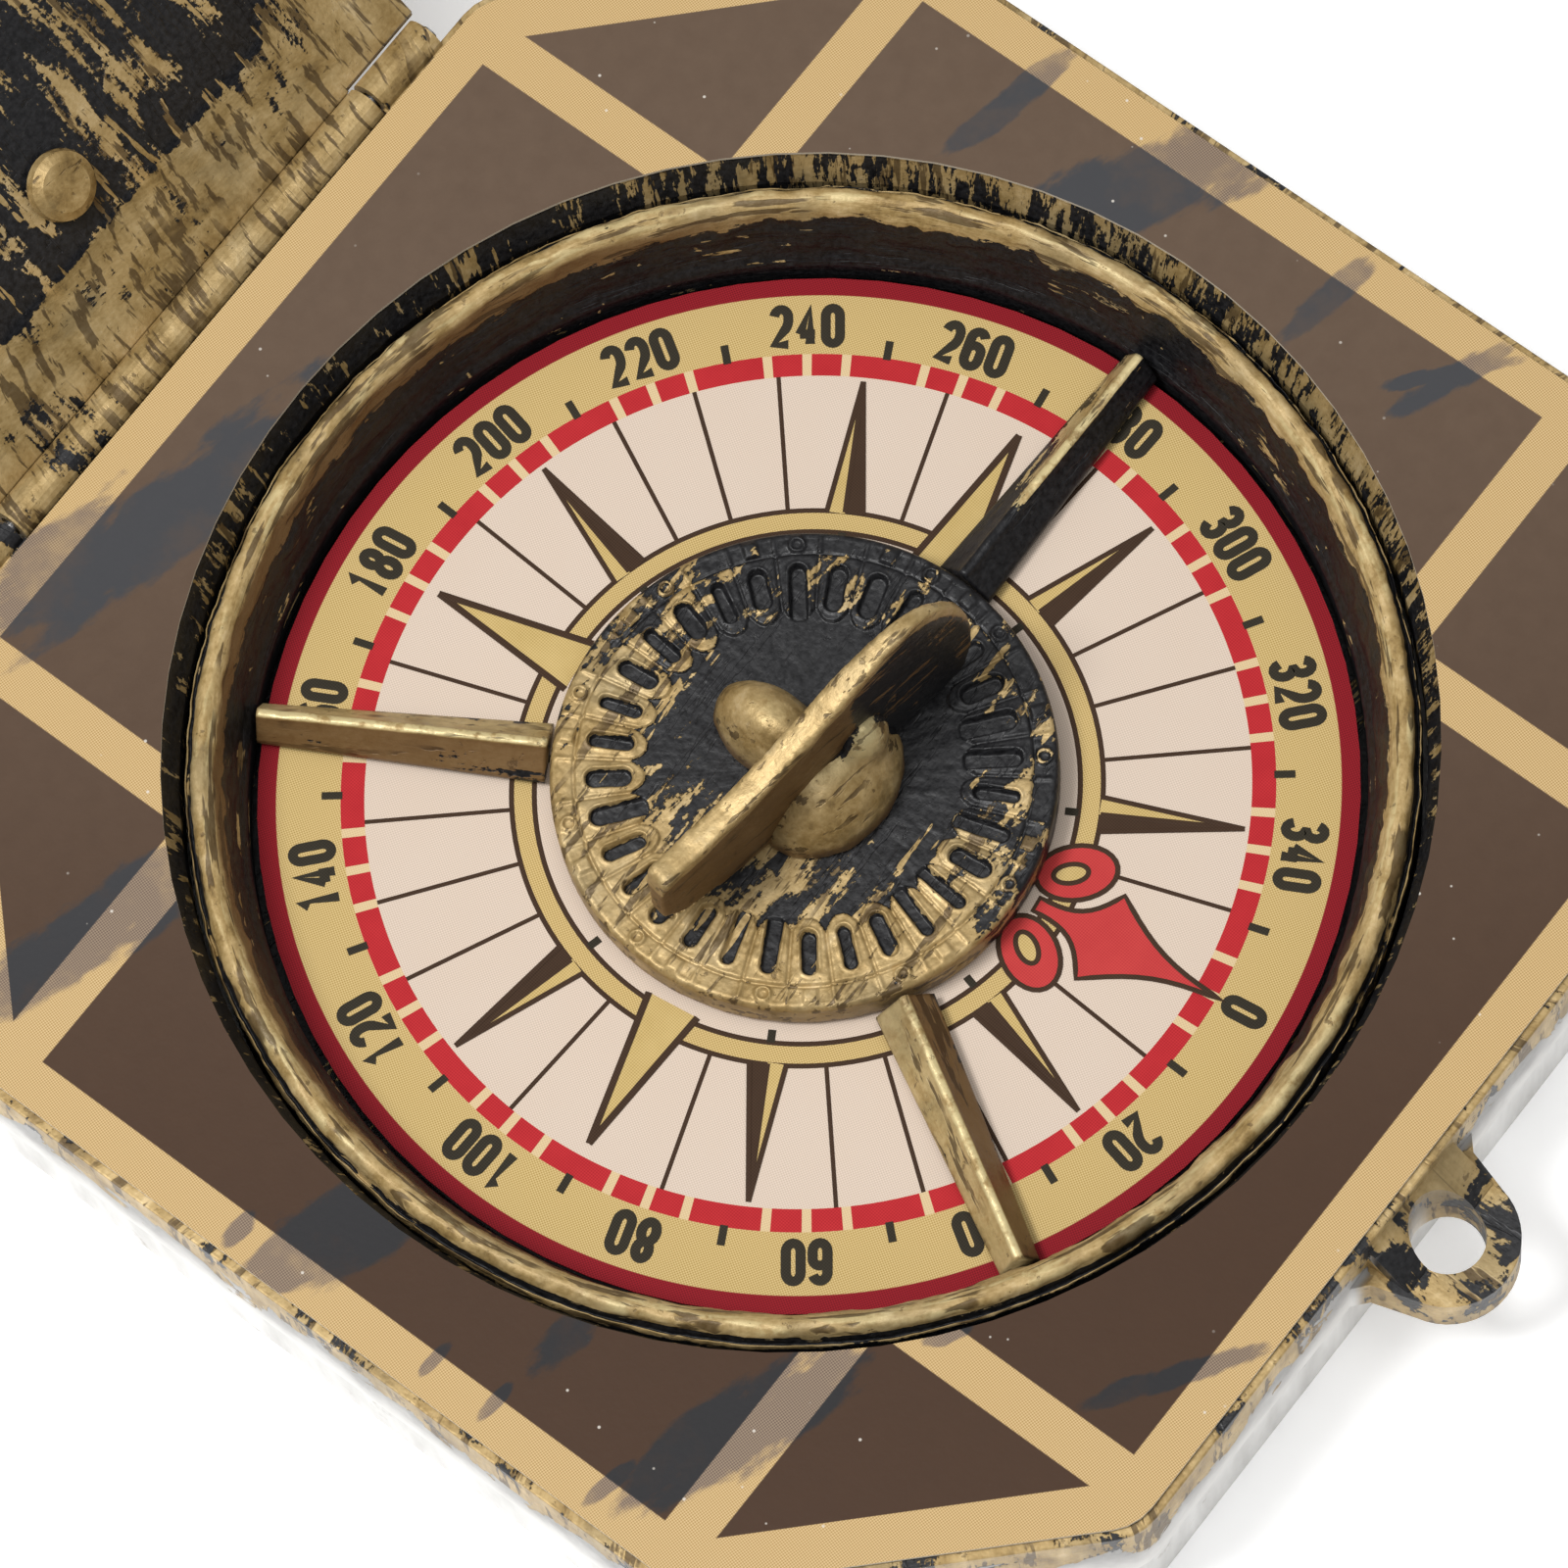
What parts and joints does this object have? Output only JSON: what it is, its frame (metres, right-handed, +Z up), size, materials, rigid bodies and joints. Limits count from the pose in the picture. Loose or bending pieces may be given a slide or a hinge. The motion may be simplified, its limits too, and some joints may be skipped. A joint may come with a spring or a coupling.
{
  "type": "pocket sundial",
  "caption": "Octagonal pocket sundial with a hinged lid, a turning compass card in a round well, and a fixed hour disc with a gnomon on three arms.",
  "frame": {"origin": "centre of the case's flat underside", "axes": "+Z up out of the deck, +Y towards the lid's hinge, -Y towards the lanyard lug"},
  "size_m": [0.0796, 0.1513, 0.0687],
  "materials": {
    "bronze_paint": "dry-brushed bronze over black",
    "black_paint": "satin black",
    "printed_deck": "printed vinyl sheet",
    "printed_card": "printed paper",
    "card_plate": "plain sheet",
    "brass": "turned",
    "steel": "plain",
    "magnet": "plated"
  },
  "bodies": {
    "case": {"lower_case": "black_paint", "upper_case": "bronze_paint", "deck_sheet": "printed_deck", "bezel_ring": "bronze_paint", "well_pan": "black_paint", "pivot_pin": "steel", "hour_disc": "bronze_paint", "arm_right": "bronze_paint", "arm_rear": "bronze_paint", "arm_front": "bronze_paint", "gnomon_fin": "bronze_paint", "gnomon_boss_front": "bronze_paint", "gnomon_boss_rear": "bronze_paint", "hinge_pin": "steel", "case_screw_1": "steel", "case_screw_2": "steel", "case_screw_3": "steel", "case_screw_4": "steel"},
    "card": {"card_face": "printed_card", "card_disc": "card_plate", "card_hub": "brass", "magnet_bar_left": "magnet", "magnet_bar_right": "magnet"},
    "lid": {"lid_shell": "bronze_paint", "lid_stud": "bronze_paint"}
  },
  "joints": [
    {"name": "lid_hinge", "type": "hinge", "parent": "case", "child": "lid", "pos_m": [0, 0.0407, 0.01245], "axis": [1, 0, 0], "range_deg": [0, 135]},
    {"name": "card_spin", "type": "hinge", "parent": "case", "child": "card", "pos_m": [0, 0, 0.006], "axis": [0, 0, 1], "continuous": true}
  ]
}
